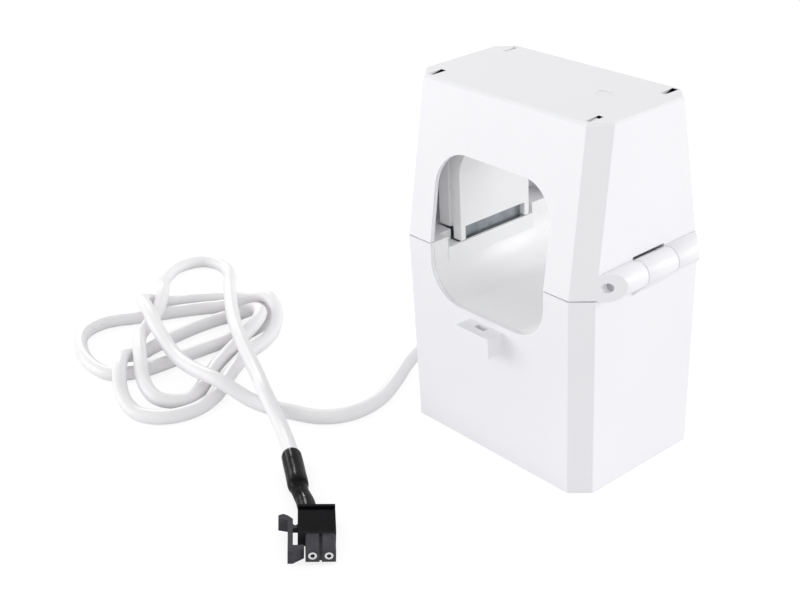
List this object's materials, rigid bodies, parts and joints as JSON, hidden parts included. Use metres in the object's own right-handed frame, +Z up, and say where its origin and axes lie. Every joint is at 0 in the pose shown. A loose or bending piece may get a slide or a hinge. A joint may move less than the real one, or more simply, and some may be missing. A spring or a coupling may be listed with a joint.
{
  "type": "split-core current transformer",
  "caption": "Hinged clamp-on current transformer with a rounded square conductor window, half cores that meet at a seam, a tie lug and a round lead to a small latching plug.",
  "frame": {"origin": "centre of the body's footprint, on the surface it stands on", "axes": "+Z up, +X towards the hinge side, -Y towards the front plate with the tie lug; the conductor passes along Y"},
  "size_m": [0.1871, 0.1098, 0.092],
  "materials": {
    "white_shell": "satin moulded white",
    "white_inner": "satin moulded white",
    "white_soft": "smooth white",
    "core_metal": "ground blue-grey cut face",
    "bobbin": "matt black",
    "copper": "enamelled copper",
    "tape": "yellow film",
    "pin_steel": "drawn",
    "lead_white": "smooth",
    "lead_black": "smooth",
    "cord_jacket": "glossy white jacket",
    "shrink_black": "semi-gloss black",
    "connector_black": "satin black",
    "contact_tin": "tin plated",
    "spring_steel": "rolled"
  },
  "bodies": {
    "lower_half": {"lower_housing": "white_shell", "lower_carrier": "white_inner", "lower_core": "core_metal", "bobbin_lower": "bobbin", "bobbin_upper": "bobbin", "secondary_winding": "copper", "winding_tape": "tape", "solder_pin_a": "pin_steel", "solder_pin_b": "pin_steel", "lead_a": "lead_white", "lead_b": "lead_black", "hinge_pin": "pin_steel", "strain_relief": "white_soft", "cord": "cord_jacket", "heat_shrink": "shrink_black", "connector_housing": "connector_black", "contact_a": "contact_tin", "contact_b": "contact_tin"},
    "upper_half": {"upper_housing": "white_shell", "upper_carrier": "white_inner", "upper_core": "core_metal", "core_spring": "spring_steel"}
  },
  "joints": [
    {"name": "cover_hinge", "type": "hinge", "parent": "lower_half", "child": "upper_half", "pos_m": [0.0328, 0, 0.055], "axis": [0, 1, 0], "range_deg": [0, 150]}
  ]
}
